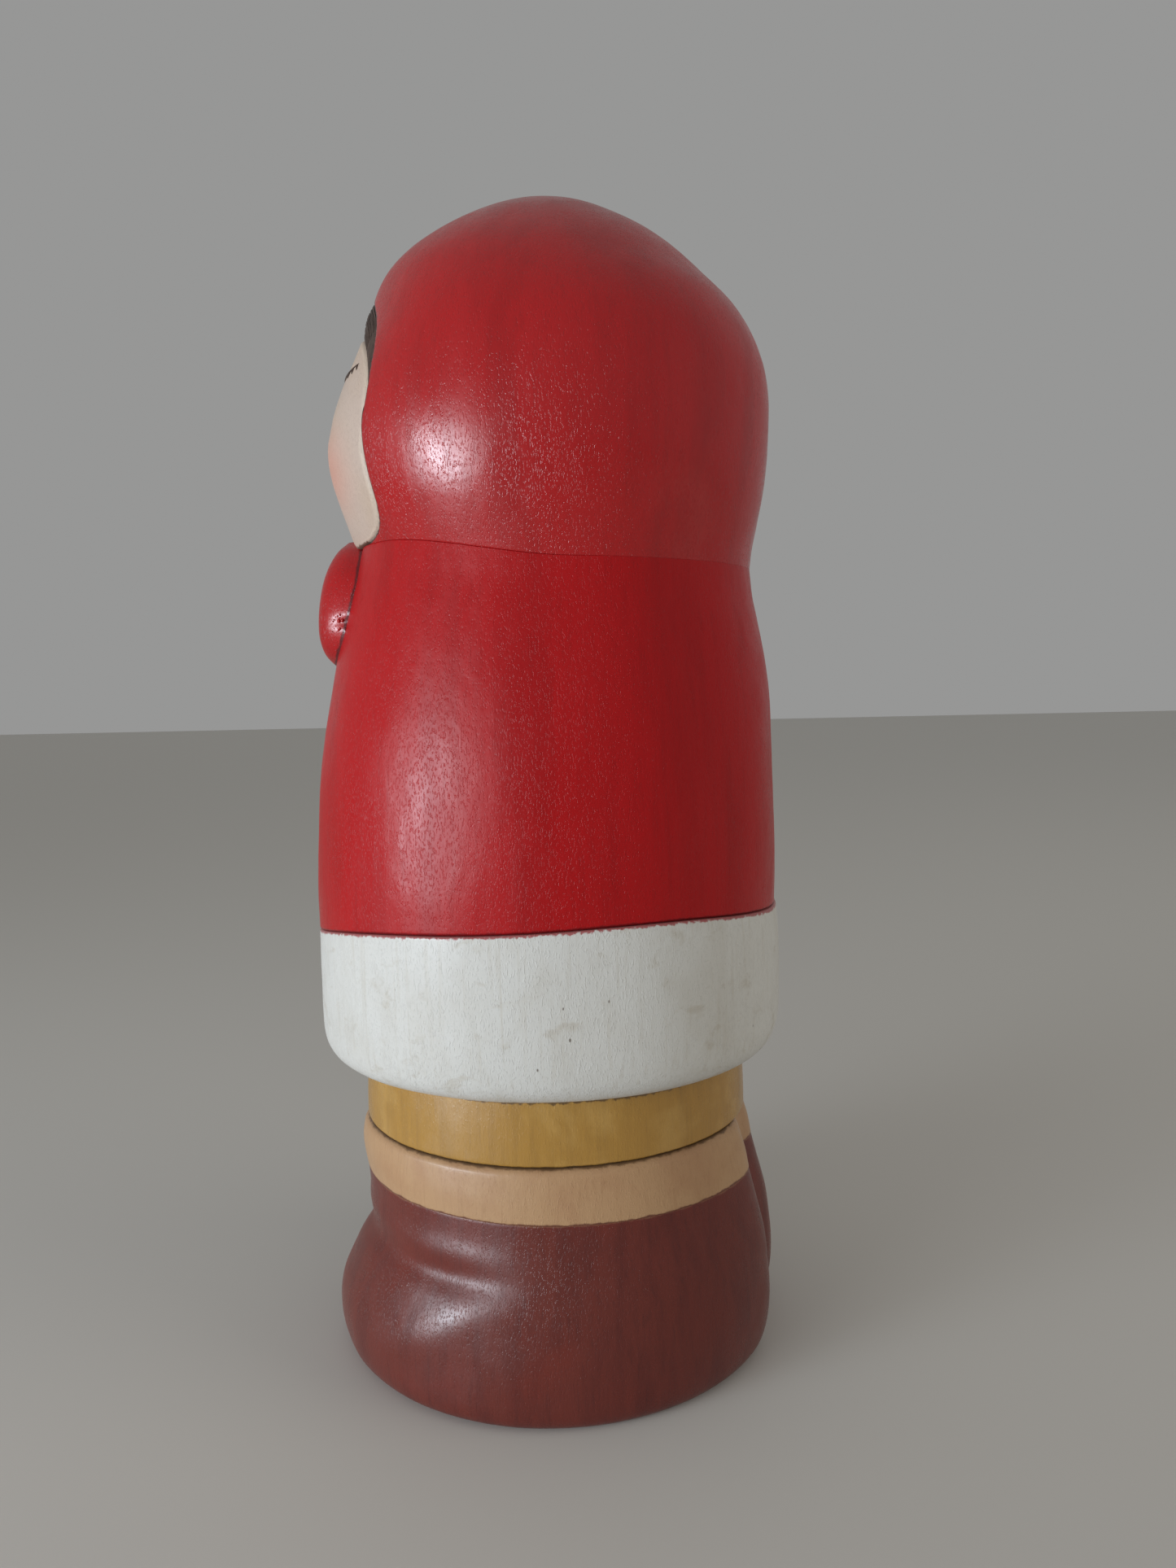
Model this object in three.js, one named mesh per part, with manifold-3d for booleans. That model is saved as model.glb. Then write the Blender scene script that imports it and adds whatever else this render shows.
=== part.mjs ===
// A hand-carved wooden gnome in a hooded coat, as a glued stack of painted blocks.
// Millimetres, +Z up. The figure looks along -Y and its left side is +X. The origin is the middle of
// its footprint, on the surface that it stands on.

import * as THREE from 'three';
import { mergeVertices } from 'three/addons/utils/BufferGeometryUtils.js';
import Module from 'manifold-3d';

const wasm = await Module();
wasm.setup();

// Driving dimensions.
const HEIGHT = 250;
const GLUE_GAP = 0.3;
const BOOT_TOP = 40;
const CUFF_TOP = 51;
const SKIRT_TOP = 65;
const HEM_HEIGHT = 95;
const NECK_HEIGHT = 172;

// The hem seam rises towards the back and dips at the very front and back.
const HEM_SLOPE = 0.045;
const HEM_SIDE_RISE = 5;
const HEM_REACH = 52;
const HEM_DIP_POWER = 4;

// The neck seam climbs at the front to meet the chin.
const NECK_SLOPE = -0.03;
const NECK_FRONT_RISE = 4.4;
const NECK_RISE_START = 16;
const NECK_RISE_END = -27;

// The opening of the hood, seen from the front: an arch on top and a squarer end at the chin.
const OPENING_MIDDLE = 204;
const OPENING_HALF_WIDTH = 34.5;
const OPENING_RISE = 27;
const OPENING_DROP = 27;
const OPENING_CHIN_POWER = 7;
// The share of its half width that the opening loses between its middle and the chin.
const OPENING_TAPER = 0.09;
const OPENING_FLOOR = -16;
const OPENING_FRONT = -60;
const HAIR_SIDE_WIDTH = 1.3;
const HAIR_TOP_WIDTH = 8;
const HAIR_END_HEIGHT = 196;

const NOSE = { height: 200, half_width: 3.4, half_height: 3.8, length: 1.8 };
const CHEEK = { side: 18, height: 193, radius: 11, length: 1.2 };

// The cleft between the legs, front and back.
const CLEFT_DEPTH = 0.1;
const CLEFT_HALF_WIDTH = 7;

// The mittens' rings reach back into the coat, which then hollows them.
const MITTEN_BACK = -26;
const MITTEN_POWER = 3.4;

const DOWELS = {
  neck_dowel: { radius: 6, x: 0, y: 4, from: 150, to: 194 },
  waist_dowel: { radius: 8, x: 0, y: 0, from: 53.5, to: 122 },
  left_leg_dowel: { radius: 5, x: 22, y: 0, from: 18, to: 57.5 },
  right_leg_dowel: { radius: 5, x: -22, y: 0, from: 18, to: 57.5 },
};
const DOWEL_SIDES = 20;

const RING_POINTS = 48;
const MITTEN_POINTS = 28;
const LEG_POINTS = 28;

// Outlines: height, reach to the front, reach to the back, half width.
const BOOT_ROWS = [
  [0, 47.8, 48, 46.4],
  [2.5, 49.8, 49.6, 47.8],
  [7, 50.6, 50.7, 48],
  [14, 49.4, 51.1, 47.3],
  [20, 47.2, 50.9, 46],
  [26, 44.4, 50.4, 44.4],
  [30, 43.2, 49.6, 43.2],
  [35, 43.2, 48.4, 42],
  [40, 43.6, 47.2, 41.2],
];
const CUFF_ROWS = [
  [40, 43.6, 47.2, 41.2],
  [44, 44.3, 46.5, 41],
  [47, 44.4, 45.7, 40.6],
  [51, 43.6, 44.5, 40],
];
const SKIRT_ROWS = [
  [51, 43.1, 44, 39.4],
  [65, 42.3, 43.6, 38.8],
];
const TRIM_ROWS = [
  [65, 45.5, 45, 40],
  [66, 49, 48.3, 43],
  [68, 51.1, 50.6, 45],
  [71, 52, 51.8, 46],
  [75, 52.2, 52.1, 46.4],
  [83, 52.2, 52.2, 46.5],
  [90, 52.2, 52.2, 46.6],
  [96, 52.1, 51.8, 46.4],
];
const COAT_ROWS = [
  [96, 52.1, 51.4, 46],
  [104, 52, 51.6, 46],
  [114, 51.3, 51.6, 45.7],
  [125, 50.2, 51.4, 45.2],
  [135, 48.4, 51.2, 44.5],
  [144, 46.3, 50.9, 43.5],
  [152, 44.4, 50, 42.3],
  [160, 42.1, 48.6, 41],
  [166, 40, 47.5, 40.1],
  [172, 38, 46.9, 39.6],
];
const HEAD_ROWS = [
  [172, 38.4, 46.9, 39.6],
  [176, 39.8, 47.4, 40.9],
  [182, 41.7, 48.7, 42.7],
  [189, 43.2, 50.2, 44.1],
  [195, 43.6, 51.1, 44.8],
  [201, 42.6, 51.6, 45],
  [207, 40.6, 51.7, 44.7],
  [213, 37.8, 50.8, 43.8],
  [219, 35.3, 48.6, 42],
  [225, 33.6, 45, 38.9],
  [231, 31.2, 39.4, 34.6],
  [236, 27.2, 34.3, 29.8],
  [240.5, 21.7, 28.7, 24.3],
  [244.5, 15.2, 22.1, 18],
  [247.5, 8.6, 16, 11.8],
  [249.3, 3, 10, 6.2],
  [250, 0, 5, 2],
];
// Height, reach to the front, middle's distance from the middle plane, half width.
const MITTEN_ROWS = [
  [151.5, 43.4, 9, 3.5],
  [154.5, 45.4, 10, 7.5],
  [158, 46.2, 10.4, 9.5],
  [162, 46.2, 10.5, 10.1],
  [167, 45.7, 10.2, 9.8],
  [171, 45, 9.6, 9.2],
  [174.5, 44, 8.6, 8.1],
  [177.5, 42.7, 7.2, 6.6],
  [179.5, 41.2, 5.6, 4.8],
];

// Reads an outline at a height, on a smooth curve through its rows.
function readOutline(rows, height) {
  const last = rows.length - 1;
  let k = 0;
  while (k < last - 1 && height > rows[k + 1][0]) k += 1;
  const [before, a] = [rows[Math.max(k - 1, 0)], rows[k]];
  const [b, after] = [rows[k + 1], rows[Math.min(k + 2, last)]];
  const span = b[0] - a[0];
  const u = (height - a[0]) / span;
  const u2 = u * u;
  const u3 = u2 * u;
  return a.slice(1).map((start, i) => {
    const column = i + 1;
    const end = b[column];
    const slopeA = ((end - before[column]) / (b[0] - before[0])) * span;
    const slopeB = ((after[column] - start) / (after[0] - a[0])) * span;
    return (2 * u3 - 3 * u2 + 1) * start + (u3 - 2 * u2 + u) * slopeA
      + (3 * u2 - 2 * u3) * end + (u3 - u2) * slopeB;
  });
}

// The heights of an outline's rows, each stretch cut into the same number of steps.
function ringHeights(rows, stepsEach) {
  const heights = [];
  for (let k = 0; k < rows.length - 1; k += 1) {
    for (let j = 0; j < stepsEach; j += 1) {
      heights.push(THREE.MathUtils.lerp(rows[k][0], rows[k + 1][0], j / stepsEach));
    }
  }
  heights.push(rows[rows.length - 1][0]);
  return heights;
}

// Turns a circle's sine or cosine into that of a squarer oval: a power of 2 leaves it round.
function squarish(value, power) {
  return Math.sign(value) * Math.abs(value) ** (2 / power);
}

// A whole oval around the body, anticlockwise seen from above, grown outwards by a margin.
function ovalRing(rows, height, margin = 0) {
  const [front, back, half] = readOutline(rows, height);
  const middle = (back - front) / 2;
  const depth = (back + front) / 2 + margin;
  const ring = [];
  for (let i = 0; i < RING_POINTS; i += 1) {
    const turn = (i / RING_POINTS) * 2 * Math.PI;
    const x = (half + margin) * Math.cos(turn);
    const y = middle + depth * Math.sin(turn);
    ring.push(new THREE.Vector3(x, y, height));
  }
  return ring;
}

// The left half of that oval, with a cleft beside the middle plane at the front and the back.
function legRing(rows, height) {
  const [front, back, half] = readOutline(rows, height);
  const middle = (back - front) / 2;
  const depth = (back + front) / 2;
  const inner = GLUE_GAP / 2;
  const ring = [];
  for (let i = 0; i < LEG_POINTS; i += 1) {
    const turn = (i / (LEG_POINTS - 1) - 0.5) * Math.PI;
    const x = inner + (half - inner) * Math.cos(turn);
    const cleft = 1 - CLEFT_DEPTH * Math.exp(-((x / CLEFT_HALF_WIDTH) ** 2));
    ring.push(new THREE.Vector3(x, middle + depth * cleft * Math.sin(turn), height));
  }
  return ring;
}

// A closed solid through a stack of rings, with a fan of triangles over each end.
function loft(rings) {
  const count = rings[0].length;
  const positions = [];
  const push = (...points) => points.forEach((p) => positions.push(p.x, p.y, p.z));
  for (let k = 0; k < rings.length - 1; k += 1) {
    for (let i = 0; i < count; i += 1) {
      const j = (i + 1) % count;
      push(rings[k][i], rings[k][j], rings[k + 1][j]);
      push(rings[k][i], rings[k + 1][j], rings[k + 1][i]);
    }
  }
  const centre = (ring) => {
    const sum = ring.reduce((total, p) => total.add(p), new THREE.Vector3());
    return sum.divideScalar(ring.length);
  };
  const bottom = rings[0];
  const top = rings[rings.length - 1];
  const bottomCentre = centre(bottom);
  const topCentre = centre(top);
  for (let i = 0; i < count; i += 1) {
    const j = (i + 1) % count;
    push(bottomCentre, bottom[j], bottom[i]);
    push(topCentre, top[i], top[j]);
  }
  const geometry = new THREE.BufferGeometry();
  geometry.setAttribute('position', new THREE.Float32BufferAttribute(positions, 3));
  return geometry;
}

// Moves a stack of rings so that its ends follow two seams, given as heights over x and y.
function fitBetweenSeams(rings, lowerSeam, upperSeam) {
  const low = rings[0][0].z;
  const high = rings[rings.length - 1][0].z;
  return rings.map((ring) => ring.map((p) => {
    const share = (p.z - low) / (high - low);
    const height = THREE.MathUtils.lerp(lowerSeam(p.x, p.y), upperSeam(p.x, p.y), share);
    return new THREE.Vector3(p.x, p.y, height);
  }));
}

function toSolid(geometry) {
  const bare = new THREE.BufferGeometry();
  bare.setAttribute('position', geometry.getAttribute('position').clone());
  if (geometry.index) bare.setIndex(geometry.index.clone());
  const merged = mergeVertices(bare, 1e-4);
  return new wasm.Manifold(new wasm.Mesh({
    numProp: 3,
    vertProperties: new Float32Array(merged.getAttribute('position').array),
    triVerts: new Uint32Array(merged.index.array),
  }));
}

function toGeometry(solid) {
  const mesh = solid.getMesh();
  const geometry = new THREE.BufferGeometry();
  geometry.setAttribute('position', new THREE.Float32BufferAttribute(mesh.vertProperties, 3));
  geometry.setIndex(new THREE.Uint32BufferAttribute(mesh.triVerts, 1));
  return geometry;
}

function hemSeam(offset) {
  return (x, y) => {
    const dip = Math.min(Math.abs(y) / HEM_REACH, 1) ** HEM_DIP_POWER;
    return HEM_HEIGHT + HEM_SLOPE * y + HEM_SIDE_RISE * (1 - dip) + offset;
  };
}

function neckSeam(offset) {
  return (x, y) => {
    const rise = NECK_FRONT_RISE * THREE.MathUtils.smoothstep(-y, -NECK_RISE_START, -NECK_RISE_END);
    return NECK_HEIGHT + NECK_SLOPE * y + rise + offset;
  };
}

function level(height) {
  return () => height;
}

function blockRings(rows, stepsEach, lowerSeam, upperSeam, margin = 0) {
  const rings = ringHeights(rows, stepsEach).map((height) => ovalRing(rows, height, margin));
  return fitBetweenSeams(rings, lowerSeam, upperSeam);
}

function block(...shape) {
  return toSolid(loft(blockRings(...shape)));
}

function leg(rows, stepsEach, lower, upper) {
  const rings = ringHeights(rows, stepsEach).map((height) => legRing(rows, height));
  return toSolid(loft(fitBetweenSeams(rings, level(lower), level(upper))));
}

// A prism along Y whose outline is the hood's opening, made narrower by the given margins.
function openingPrism(sideMargin, topMargin, floor) {
  const ringAt = (y) => {
    const ring = [];
    for (let i = 0; i < RING_POINTS; i += 1) {
      const turn = (i / RING_POINTS) * 2 * Math.PI;
      const power = Math.sin(turn) >= 0 ? 2 : OPENING_CHIN_POWER;
      const across = squarish(Math.cos(turn), power);
      const up = squarish(Math.sin(turn), power);
      const rise = up >= 0 ? OPENING_RISE - topMargin : OPENING_DROP - sideMargin;
      const taper = 1 - OPENING_TAPER * Math.max(-up, 0);
      const x = (OPENING_HALF_WIDTH - sideMargin) * taper * across;
      ring.push(new THREE.Vector3(x, y, OPENING_MIDDLE + rise * up));
    }
    return ring;
  };
  return toSolid(loft([ringAt(floor), ringAt(OPENING_FRONT)]));
}

function dowelSolid({ radius, x, y, from, to }, clearance) {
  const length = to - from + 2 * clearance;
  const sleeve = new THREE.CylinderGeometry(radius + clearance, radius + clearance, length, DOWEL_SIDES);
  sleeve.rotateX(Math.PI / 2);
  sleeve.translate(x, y, (from + to) / 2);
  return toSolid(sleeve);
}

function drill(solid, ...names) {
  return names.reduce((left, name) => left.subtract(dowelSolid(DOWELS[name], GLUE_GAP)), solid);
}

function headBlock(margin = 0) {
  return block(HEAD_ROWS, 1, neckSeam(GLUE_GAP / 2), level(HEIGHT), margin);
}

function hoodSolid() {
  const opening = openingPrism(0, 0, OPENING_FLOOR);
  return drill(headBlock().subtract(opening), 'neck_dowel');
}

function hairSolid() {
  const outside = openingPrism(GLUE_GAP, GLUE_GAP, OPENING_FLOOR - GLUE_GAP);
  const faceHole = openingPrism(GLUE_GAP + HAIR_SIDE_WIDTH, GLUE_GAP + HAIR_TOP_WIDTH, 0);
  const below = new THREE.BoxGeometry(200, 200, HAIR_END_HEIGHT);
  below.translate(0, 0, HAIR_END_HEIGHT / 2);
  return headBlock().intersect(outside).subtract(faceHole).subtract(toSolid(below));
}

// The face follows the head's outline, with low cheeks and a small nose raised on its front.
function faceSolid() {
  const rings = blockRings(HEAD_ROWS, 2, neckSeam(GLUE_GAP / 2), level(HEIGHT));
  rings.forEach((ring) => ring.forEach((p) => {
    if (p.y > 0) return;
    const nose = Math.exp(-((p.x / NOSE.half_width) ** 2) - ((p.z - NOSE.height) / NOSE.half_height) ** 2);
    const cheekAcross = (Math.abs(p.x) - CHEEK.side) / CHEEK.radius;
    const cheekUp = (p.z - CHEEK.height) / CHEEK.radius;
    const cheek = Math.exp(-(cheekAcross ** 2) - cheekUp ** 2);
    p.y -= NOSE.length * nose + CHEEK.length * cheek;
  }));
  const margin = 2 * GLUE_GAP + HAIR_SIDE_WIDTH;
  const outline = openingPrism(margin, 2 * GLUE_GAP + HAIR_TOP_WIDTH, OPENING_FLOOR - GLUE_GAP);
  return toSolid(loft(rings)).intersect(outline);
}

function coatSolid() {
  const coat = block(COAT_ROWS, 1, hemSeam(GLUE_GAP / 2), neckSeam(-GLUE_GAP / 2));
  return drill(coat, 'neck_dowel', 'waist_dowel');
}

// A mitten pointing up under the chin, hollowed at the back to sit against the coat.
function mittenSolid() {
  const rings = MITTEN_ROWS.map(([height, front, side, half]) => {
    const ring = [];
    for (let i = 0; i < MITTEN_POINTS; i += 1) {
      const turn = (i / MITTEN_POINTS) * 2 * Math.PI;
      const across = squarish(Math.cos(turn), MITTEN_POWER);
      const out = squarish(Math.sin(turn), MITTEN_POWER);
      const depth = out < 0 ? front + MITTEN_BACK : 1;
      ring.push(new THREE.Vector3(side + half * across, MITTEN_BACK + depth * out, height));
    }
    return ring;
  });
  const coat = block(COAT_ROWS, 1, hemSeam(0), neckSeam(GLUE_GAP), GLUE_GAP);
  const head = headBlock(GLUE_GAP + CHEEK.length);
  return toSolid(loft(rings)).subtract(coat).subtract(head);
}

function trimSolid() {
  const trim = block(TRIM_ROWS, 1, level(SKIRT_TOP + GLUE_GAP / 2), hemSeam(-GLUE_GAP / 2));
  return drill(trim, 'waist_dowel');
}

function skirtSolid() {
  const skirt = block(SKIRT_ROWS, 1, level(CUFF_TOP + GLUE_GAP / 2), level(SKIRT_TOP - GLUE_GAP / 2));
  return drill(skirt, 'waist_dowel', 'left_leg_dowel', 'right_leg_dowel');
}

function mirrored(solid) {
  const geometry = toGeometry(solid);
  geometry.scale(-1, 1, 1);
  const index = geometry.index;
  for (let i = 0; i < index.count; i += 3) {
    const first = index.getX(i);
    index.setX(i, index.getX(i + 1));
    index.setX(i + 1, first);
  }
  return geometry;
}

const FINISHES = {
  red: { color: 0xa82228, roughness: 0.42, metalness: 0 },
  cream: { color: 0xd2bda3, roughness: 0.55, metalness: 0 },
  dark_brown: { color: 0x3a2e28, roughness: 0.6, metalness: 0 },
  white: { color: 0xd8d4ca, roughness: 0.45, metalness: 0 },
  mustard: { color: 0xae8846, roughness: 0.5, metalness: 0 },
  tan: { color: 0xc09a74, roughness: 0.55, metalness: 0 },
  boot_brown: { color: 0x6b2f2a, roughness: 0.42, metalness: 0 },
  bare_wood: { color: 0xcbb089, roughness: 0.75, metalness: 0 },
};

const gnome = new THREE.Group();

function addPiece(name, finish, geometry) {
  const mesh = new THREE.Mesh(geometry, new THREE.MeshStandardMaterial(FINISHES[finish]));
  mesh.name = name;
  gnome.add(mesh);
}

function addPair(name, finish, solid) {
  addPiece(`left_${name}`, finish, toGeometry(solid));
  addPiece(`right_${name}`, finish, mirrored(solid));
}

addPiece('hood', 'red', toGeometry(hoodSolid()));
addPiece('face', 'cream', toGeometry(faceSolid()));
addPiece('hair_fringe', 'dark_brown', toGeometry(hairSolid()));
addPiece('coat', 'red', toGeometry(coatSolid()));
addPair('mitten', 'red', mittenSolid());
addPiece('fur_trim', 'white', toGeometry(trimSolid()));
addPiece('skirt', 'mustard', toGeometry(skirtSolid()));
const cuff = leg(CUFF_ROWS, 1, BOOT_TOP + GLUE_GAP / 2, CUFF_TOP - GLUE_GAP / 2);
addPair('cuff', 'tan', drill(cuff, 'left_leg_dowel'));
const boot = leg(BOOT_ROWS, 1, 0, BOOT_TOP - GLUE_GAP / 2);
addPair('boot', 'boot_brown', drill(boot, 'left_leg_dowel'));
Object.entries(DOWELS).forEach(([name, dowel]) => {
  addPiece(name, 'bare_wood', toGeometry(dowelSolid(dowel, 0)));
});

export default gnome;
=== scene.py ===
"""A hand-carved, hand-painted wooden gnome in a hooded coat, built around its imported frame.

Shapes are worked out in design millimetres: the figure is 250 of them high, whatever its real size.
The figure looks along -Y, its left side is +X, and it stands on z = 0.
"""

import math

import bpy
import numpy as np
from mathutils import Matrix, Vector


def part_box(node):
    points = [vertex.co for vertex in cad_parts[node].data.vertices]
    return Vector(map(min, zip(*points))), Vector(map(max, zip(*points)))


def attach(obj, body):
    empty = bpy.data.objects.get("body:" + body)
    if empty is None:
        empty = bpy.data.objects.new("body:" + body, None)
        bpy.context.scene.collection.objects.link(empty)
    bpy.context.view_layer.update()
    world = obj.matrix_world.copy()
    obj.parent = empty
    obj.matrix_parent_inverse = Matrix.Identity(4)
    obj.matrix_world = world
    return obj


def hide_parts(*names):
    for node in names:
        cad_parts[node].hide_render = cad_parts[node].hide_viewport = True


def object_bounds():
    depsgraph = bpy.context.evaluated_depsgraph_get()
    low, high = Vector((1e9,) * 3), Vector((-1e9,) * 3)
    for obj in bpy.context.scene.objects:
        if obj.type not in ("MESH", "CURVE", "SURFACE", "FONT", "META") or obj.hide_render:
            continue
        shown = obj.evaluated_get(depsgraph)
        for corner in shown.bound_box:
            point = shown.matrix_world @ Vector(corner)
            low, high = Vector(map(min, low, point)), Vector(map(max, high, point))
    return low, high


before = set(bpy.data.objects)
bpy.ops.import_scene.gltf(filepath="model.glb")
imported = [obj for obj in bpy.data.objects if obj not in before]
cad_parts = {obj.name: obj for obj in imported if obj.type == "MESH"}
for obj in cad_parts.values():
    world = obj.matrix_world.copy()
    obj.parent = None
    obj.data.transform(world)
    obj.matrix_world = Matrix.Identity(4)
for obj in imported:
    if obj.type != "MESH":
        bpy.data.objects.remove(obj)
CAD_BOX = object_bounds()

HEIGHT = 250
UNIT = (CAD_BOX[1].z - CAD_BOX[0].z) / HEIGHT

# The blocks are parted by a thin layer of glue. The coat stops a hair short of the hood.
GLUE_GAP = 0.3
NECK_GAP = 0.02


def seam_above(node):
    """The height of the level seam on top of a node, read from the frame."""
    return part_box(node)[1].z / UNIT + GLUE_GAP / 2


BOOT_TOP = seam_above("left_boot")
CUFF_TOP = seam_above("left_cuff")
SKIRT_TOP = seam_above("skirt")

# Outlines: height, reach to the front, reach to the back, half width.
BOOT_ROWS = [
    [0, 47.8, 48, 46.4], [2.5, 49.8, 49.6, 47.8], [7, 50.6, 50.7, 48], [14, 49.4, 51.1, 47.3],
    [20, 47.2, 50.9, 46], [26, 44.4, 50.4, 44.4], [30, 43.2, 49.6, 43.2], [35, 43.2, 48.4, 42],
    [40, 43.6, 47.2, 41.2],
]
CUFF_ROWS = [[40, 43.6, 47.2, 41.2], [44, 44.3, 46.5, 41], [47, 44.4, 45.7, 40.6], [51, 43.6, 44.5, 40]]
SKIRT_ROWS = [[51, 43.1, 44, 39.4], [58, 42.9, 43.9, 39.2], [65, 42.3, 43.6, 38.8]]
TRIM_ROWS = [
    [65, 45.5, 45, 40], [66, 49, 48.3, 43], [68, 51.1, 50.6, 45], [71, 52, 51.8, 46],
    [75, 52.2, 52.1, 46.4], [83, 52.2, 52.2, 46.5], [90, 52.2, 52.2, 46.6], [96, 52.1, 51.8, 46.4],
]
COAT_ROWS = [
    [96, 52.1, 51.4, 46], [104, 52, 51.6, 46], [114, 51.3, 51.6, 45.7], [125, 50.2, 51.4, 45.2],
    [135, 48.4, 51.2, 44.5], [144, 46.3, 50.9, 43.5], [152, 44.4, 50, 42.3], [160, 42.1, 48.6, 41],
    [166, 40, 47.5, 40.1], [172, 38, 46.9, 39.6],
]
HEAD_ROWS = [
    [172, 38.4, 46.9, 39.6], [176, 39.8, 47.4, 40.9], [182, 41.7, 48.7, 42.7], [189, 43.2, 50.2, 44.1],
    [195, 43.6, 51.1, 44.8], [201, 42.6, 51.6, 45], [207, 40.6, 51.7, 44.7], [213, 37.8, 50.8, 43.8],
    [219, 35.3, 48.6, 42], [225, 33.6, 45, 38.9], [231, 31.2, 39.4, 34.6], [236, 27.2, 34.3, 29.8],
    [240.5, 21.7, 28.7, 24.3], [244.5, 15.2, 22.1, 18], [247.5, 8.6, 16, 11.8], [249.3, 3, 10, 6.2],
    [250, 0, 5, 2],
]
# Height, reach to the front, middle's distance from the middle plane, half width.
MITTEN_ROWS = [
    [151.5, 43.4, 9, 3.5], [154.5, 45.4, 10, 7.5], [158, 46.2, 10.4, 9.5], [162, 46.2, 10.5, 10.1],
    [167, 45.7, 10.2, 9.8], [171, 45, 9.6, 9.2], [174.5, 44, 8.6, 8.1], [177.5, 42.7, 7.2, 6.6],
    [179.5, 41.2, 5.6, 4.8],
]
MITTEN_BACK = 26
MITTEN_POWER = 3.4
MITTEN_PROUD = 0.4
MITTEN_STEP = 0.35
PINCH = {"height": 161.5, "half_height": 1.1, "depth": 1.1}
CLOTS = {"reach": 1.6, "half_height": 1.8, "side": 12, "size": 0.36, "density": 6e5}

# The two seams that aren't level.
HEM = {"height": 95, "climb": 0.045, "rise": 5, "reach": 52}
NECK = {"height": 172, "fall": 0.03, "chin_rise": 4.4, "chin_span": (-16, 27)}
CHIN_BASE = 178

# The opening of the hood: an arch on top and a squarer end at the chin.
OPENING_MIDDLE = 204
OPENING_HALF_WIDTH = 34.5
OPENING_RISE = 27
OPENING_CHIN_POWER = 7
OPENING_TAPER = 0.09
OPENING_FLOOR = -16
OPENING_FRONT = -70
LIP_RADIUS = 0.25
HAIR_TOP_WIDTH = 8
HAIR_END_HEIGHT = 192
HAIR_THICKNESS = 0.9
HAIR_SINK = 0.7
HAIR_REACH = 2.4
HAIR_THREAD = 0.04
FACE_MARGIN = 0.35
FACE_TOP_MARGIN = HAIR_TOP_WIDTH + 0.8
FACE_EDGE = 0.5
FACE_SINK = 0.1
FACE_RADIUS = 25

NOSE = {"side": 0, "height": 200, "half_width": 3.4, "half_height": 3.8, "length": 1.8}
CHEEK = {"side": 18, "height": 193, "half_width": 11, "half_height": 11, "length": 1.2}
CHIN = {"side": 0, "height": 178, "half_width": 15, "half_height": 8, "length": 1.7}
BLUSH = {"side": 20, "height": 193, "radius": 13}
EYE = {"side": 20.2, "height": 211.9, "half_width": 8.3, "sag": 0.3}
MOUTH = {"height": 189, "half_width": 4.2, "sag": 1.3}
LASHES = ((0.45, -0.2), (0.72, 0.1), (0.95, 0.4))
LASH_LENGTH = 1.2
STROKE_WIDTH = 0.19
STROKE_PROUD = 0.02
STRAND_WIDTH = 0.22
STRAND_STEP = 0.6

STEP = 0.7
NECK_EDGE = 1.6
FINE_COLUMNS = 420
FAR_AWAY = 99
SMALLEST = 1e-3


# ---- seams and outlines

def smoothstep(value, low, high):
    u = np.clip((value - low) / (high - low), 0, 1)
    return u * u * (3 - 2 * u)


def hem_seam(x, y):
    """The seam between the white band and the coat: it rises to the back and dips front and back."""
    dip = np.minimum(np.abs(y) / HEM["reach"], 1) ** 4
    return HEM["height"] + HEM["climb"] * y + HEM["rise"] * (1 - dip)


def neck_seam(x, y):
    """The seam between the coat and the hood: it climbs at the front to meet the chin."""
    return NECK["height"] - NECK["fall"] * y + NECK["chin_rise"] * smoothstep(-y, *NECK["chin_span"])


def level(height):
    """A seam at one height all over."""
    return lambda x, y: height + 0 * x


def angles(count):
    """Evenly spaced angles once round a circle."""
    return np.arange(count) / count * 2 * math.pi


def squared(value, power):
    """A sine or cosine pushed outwards, so that the oval it draws becomes squarer. Power 2 is an oval."""
    return np.sign(value) * np.abs(value) ** (2 / power)


def read_outline(rows, heights):
    """Reads an outline's columns at many heights, on a smooth curve through its rows."""
    rows = np.array(rows, float)
    z = rows[:, 0]
    k = np.clip(np.searchsorted(z, heights, side="right") - 1, 0, len(z) - 2)
    before, after = np.maximum(k - 1, 0), np.minimum(k + 2, len(z) - 1)
    span = (z[k + 1] - z[k])[..., None]
    u = (heights - z[k])[..., None] / span
    a, b = rows[k, 1:], rows[k + 1, 1:]
    slope_a = (b - rows[before, 1:]) / (z[k + 1] - z[before])[..., None] * span
    slope_b = (rows[after, 1:] - a) / (z[after] - z[k])[..., None] * span
    start = (2 * u**3 - 3 * u**2 + 1) * a + (u**3 - 2 * u**2 + u) * slope_a
    return start + (3 * u**2 - 2 * u**3) * b + (u**3 - u**2) * slope_b


def spaced_heights(rows, step, ends=(0, 0)):
    """Heights spaced evenly along an outline, with a few more inside the rounding at each end."""
    fine = np.linspace(rows[0][0], rows[-1][0], 3000)
    columns = read_outline(rows, fine)
    length = np.hypot(np.diff(fine), np.abs(np.diff(columns, axis=0)).max(axis=1))
    travel = np.concatenate([[0], np.cumsum(length)])
    even = np.interp(np.linspace(0, travel[-1], int(travel[-1] / step) + 1), travel, fine)
    bend = np.array([0.04, 0.12, 0.25, 0.42, 0.62, 0.85])
    extra = [rows[0][0] + bend * ends[0], rows[-1][0] - bend * ends[1]]
    return np.unique(np.round(np.concatenate([even, *extra]), 5))


def rounding(distance, radius):
    """How far a rounded edge has turned in, at a distance from the end of the block."""
    left = np.clip(radius - distance, 0, radius)
    return radius - np.sqrt(np.maximum(radius * radius - left * left, 0))


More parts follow.
